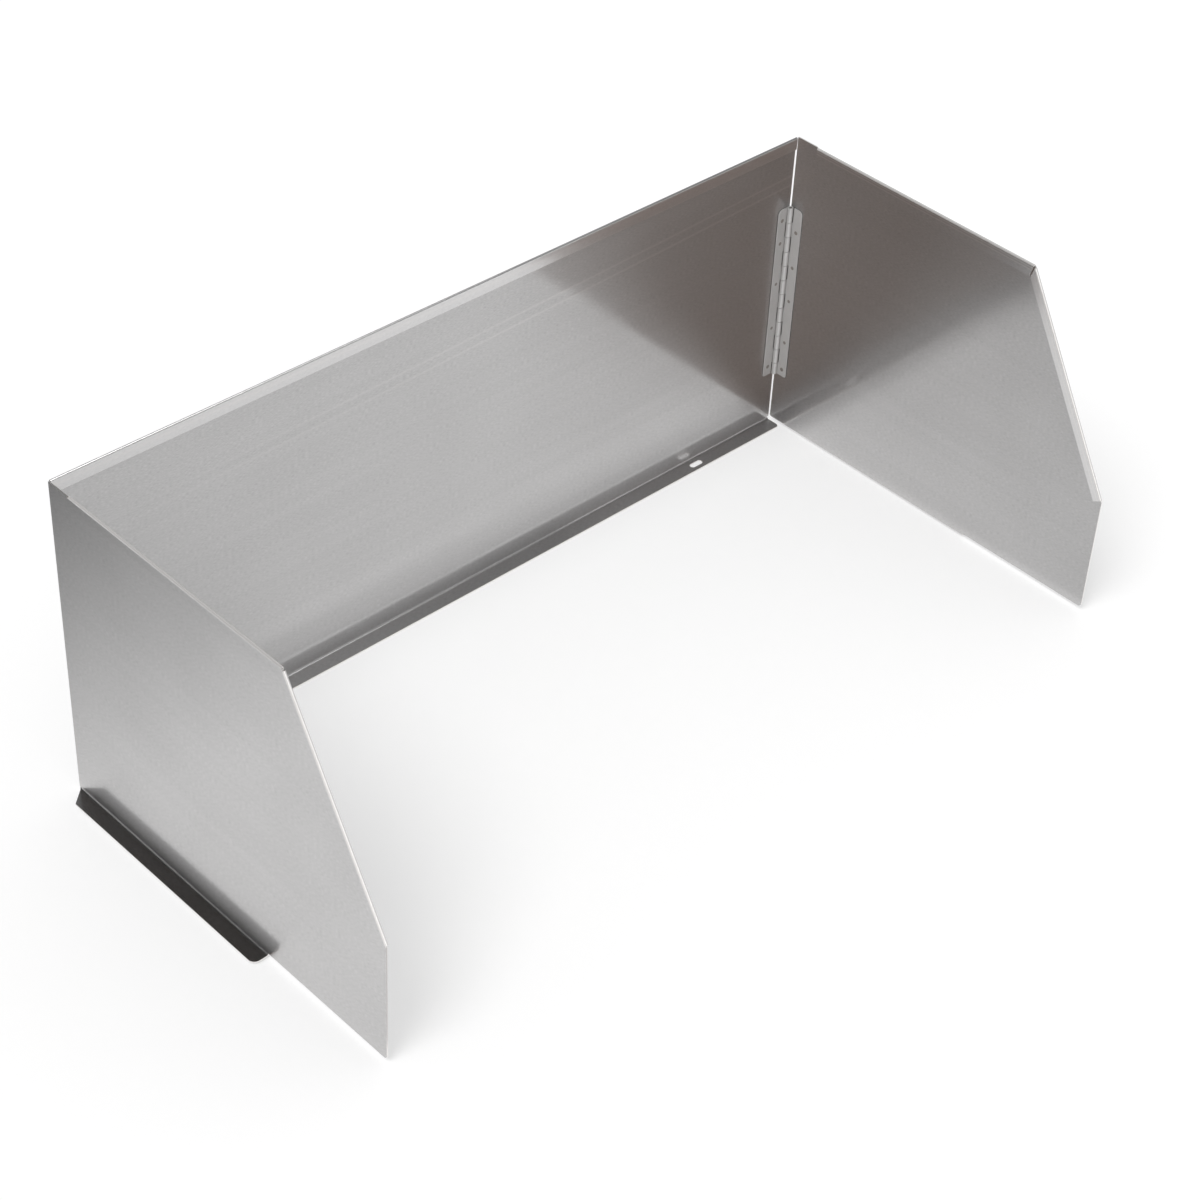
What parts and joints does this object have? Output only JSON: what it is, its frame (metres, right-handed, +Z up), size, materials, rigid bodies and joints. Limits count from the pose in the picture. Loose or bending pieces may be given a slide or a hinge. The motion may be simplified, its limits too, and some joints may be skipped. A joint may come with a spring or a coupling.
{
  "type": "grill wind guard",
  "caption": "Folding wind guard of brushed sheet steel for a camp grill: back panel with a slotted base flange, and slant-cut side panels on piano hinges.",
  "frame": {"origin": "on the floor, at the middle of the footprint of the opened guard", "axes": "+X to the right seen from the open front, +Y from the open front towards the back panel, +Z up"},
  "size_m": [0.6838, 0.3176, 0.254],
  "materials": {
    "back_panel_steel": "fine horizontal brushed grain, half bright",
    "side_panel_steel": "fine horizontal brushed grain, half bright",
    "hinge_leaf_steel": "mill finish, slightly brighter than the panels",
    "hinge_pin_steel": "drawn wire, smooth"
  },
  "bodies": {
    "back": {"back_panel": "back_panel_steel", "left_hinge_back_leaf": "hinge_leaf_steel", "left_hinge_pin": "hinge_pin_steel", "right_hinge_back_leaf": "hinge_leaf_steel", "right_hinge_pin": "hinge_pin_steel"},
    "left_side": {"left_side_panel": "side_panel_steel", "left_hinge_side_leaf": "hinge_leaf_steel"},
    "right_side": {"right_side_panel": "side_panel_steel", "right_hinge_side_leaf": "hinge_leaf_steel"}
  },
  "joints": [
    {"name": "left_side_fold", "type": "hinge", "parent": "back", "child": "left_side", "pos_m": [-0.3267, 0.15525, 0.121], "axis": [0, 0, 1], "range_deg": [-20, 90]},
    {"name": "right_side_fold", "type": "hinge", "parent": "back", "child": "right_side", "pos_m": [0.3267, 0.15525, 0.121], "axis": [0, 0, -1], "range_deg": [-20, 90]}
  ]
}
